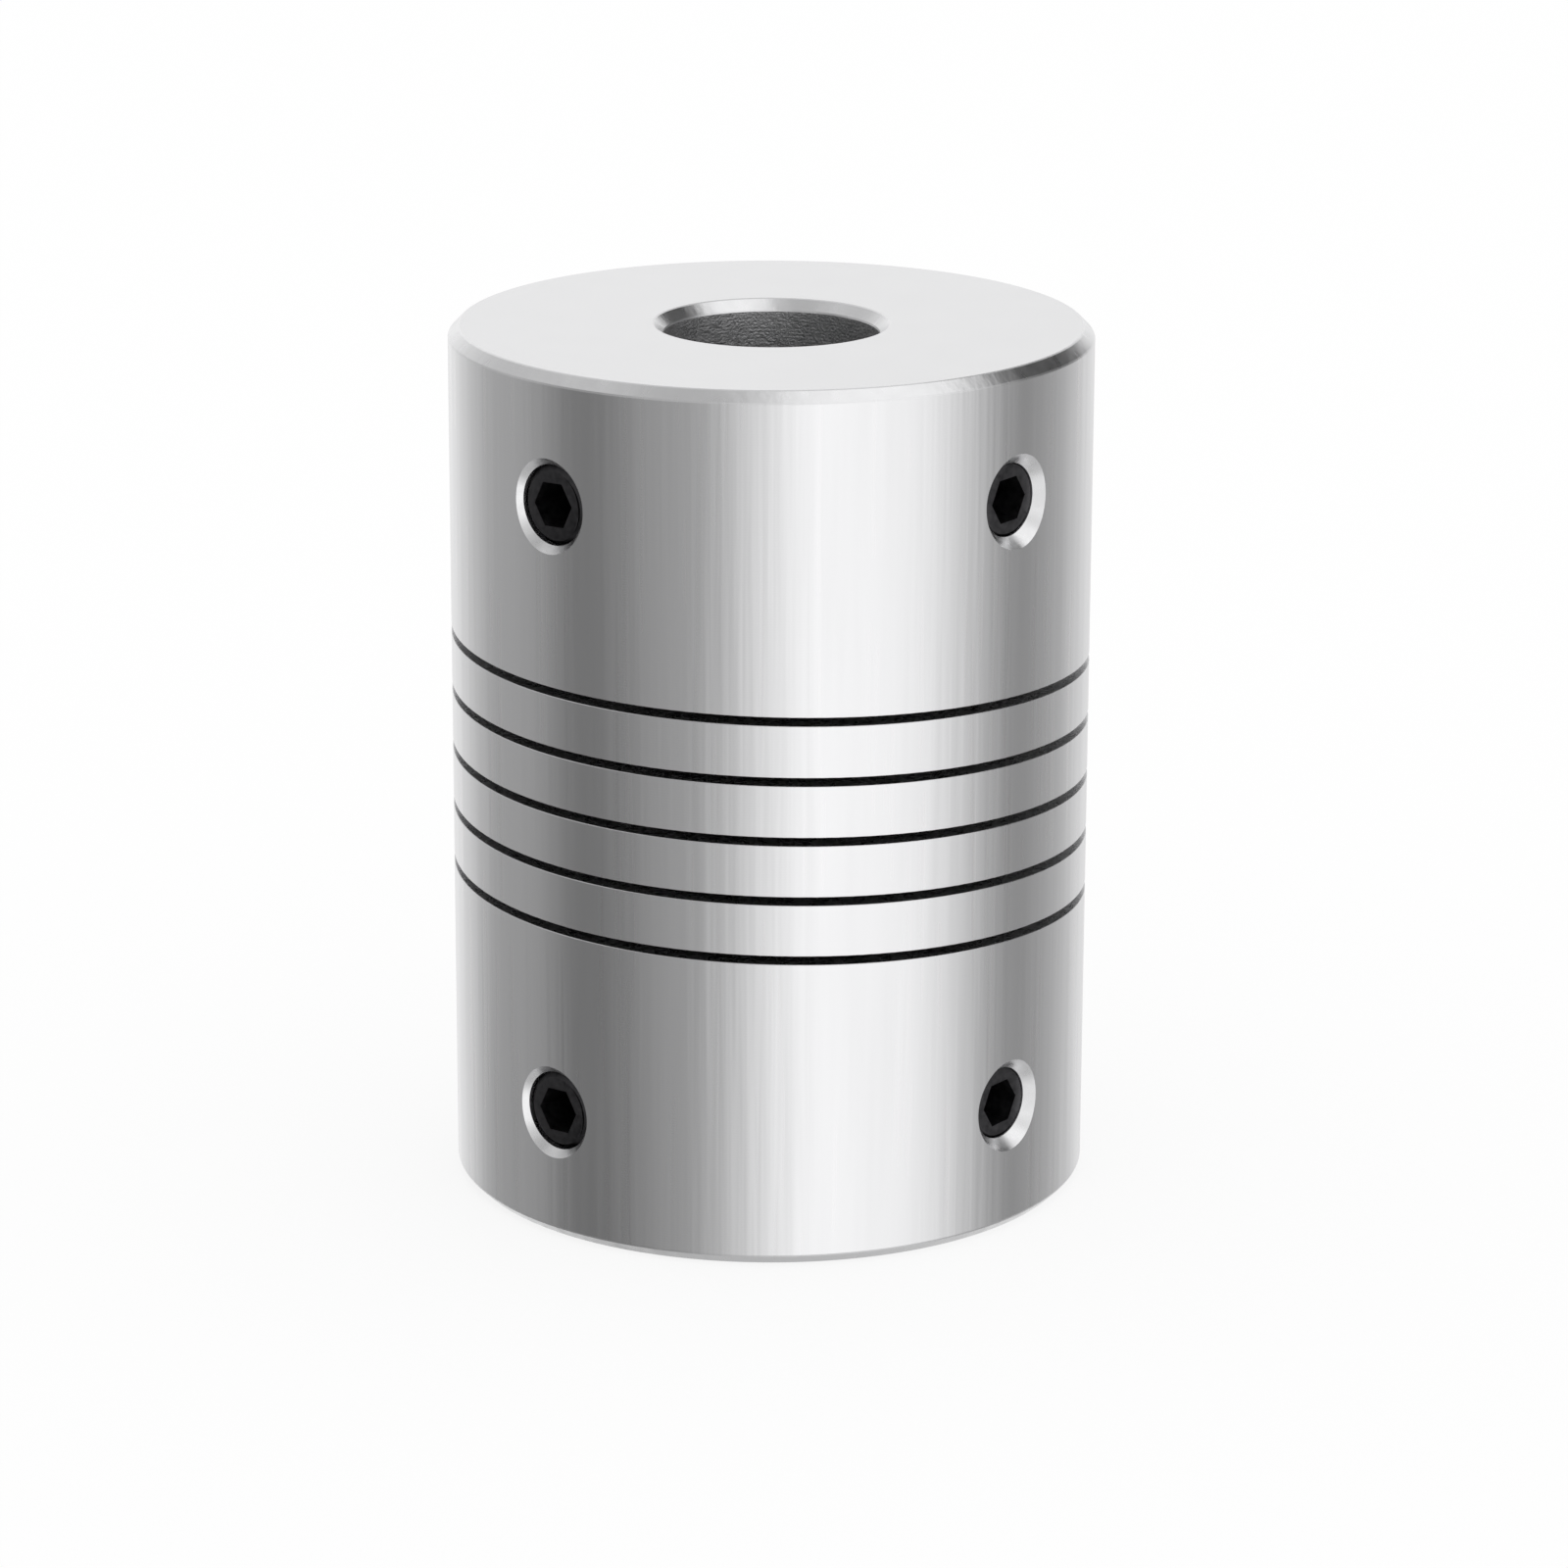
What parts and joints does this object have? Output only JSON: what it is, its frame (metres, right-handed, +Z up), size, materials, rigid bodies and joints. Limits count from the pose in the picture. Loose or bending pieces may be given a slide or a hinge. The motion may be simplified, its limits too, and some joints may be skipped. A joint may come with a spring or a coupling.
{
  "type": "flexible coupling",
  "caption": "One-piece helical beam shaft coupling: a round aluminium bar with a through bore, a slit spring beam at mid-length and set screws in both hubs.",
  "frame": {"origin": "centre of the lower end face, on the bore's axis", "axes": "+Z up the bore's axis from the lower to the upper end face, -Y towards the front, with the set screws on both sides of it, +X to the right of the front"},
  "size_m": [0.03, 0.03, 0.041],
  "materials": {
    "turned_aluminium": "fine turned, bare",
    "black_oxide_steel": "black oxide, satin"
  },
  "bodies": {
    "root": {"coupling_body": "turned_aluminium", "set_screw_upper_left": "black_oxide_steel", "set_screw_upper_right": "black_oxide_steel", "set_screw_lower_left": "black_oxide_steel", "set_screw_lower_right": "black_oxide_steel"}
  },
  "joints": []
}
